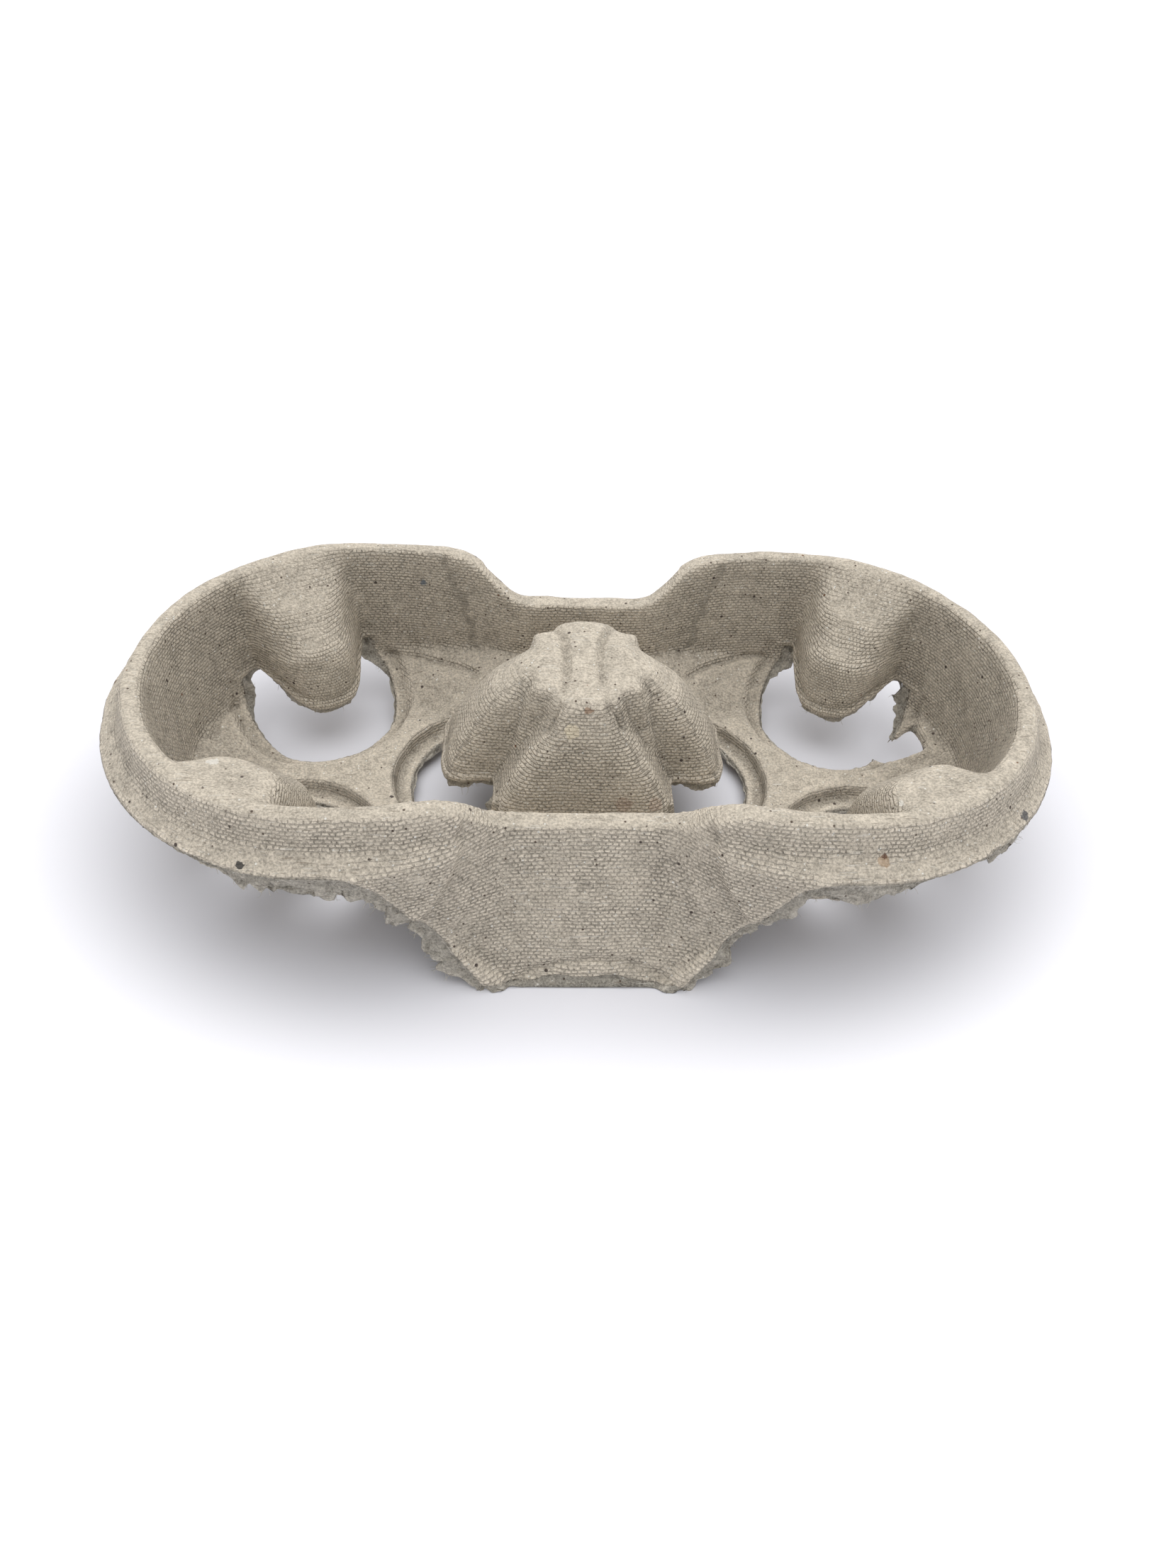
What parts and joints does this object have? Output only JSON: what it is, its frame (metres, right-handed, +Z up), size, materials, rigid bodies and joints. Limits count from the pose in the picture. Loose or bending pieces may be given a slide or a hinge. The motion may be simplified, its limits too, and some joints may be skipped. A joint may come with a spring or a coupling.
{
  "type": "cup carrier tray",
  "caption": "Moulded pulp tray that carries takeaway cups side by side in round wells with sprung flaps and a hollow divider.",
  "frame": {"origin": "on the table, under the middle of the divider", "axes": "+X from one cup to the other, +Y to the back long side, +Z up"},
  "size_m": [0.2172, 0.1176, 0.046],
  "materials": {
    "pulp": "raw moulded pulp, matt warm grey with a wire mark, flecks and torn fibrous edges"
  },
  "bodies": {
    "root": {"tray": "pulp"}
  },
  "joints": []
}
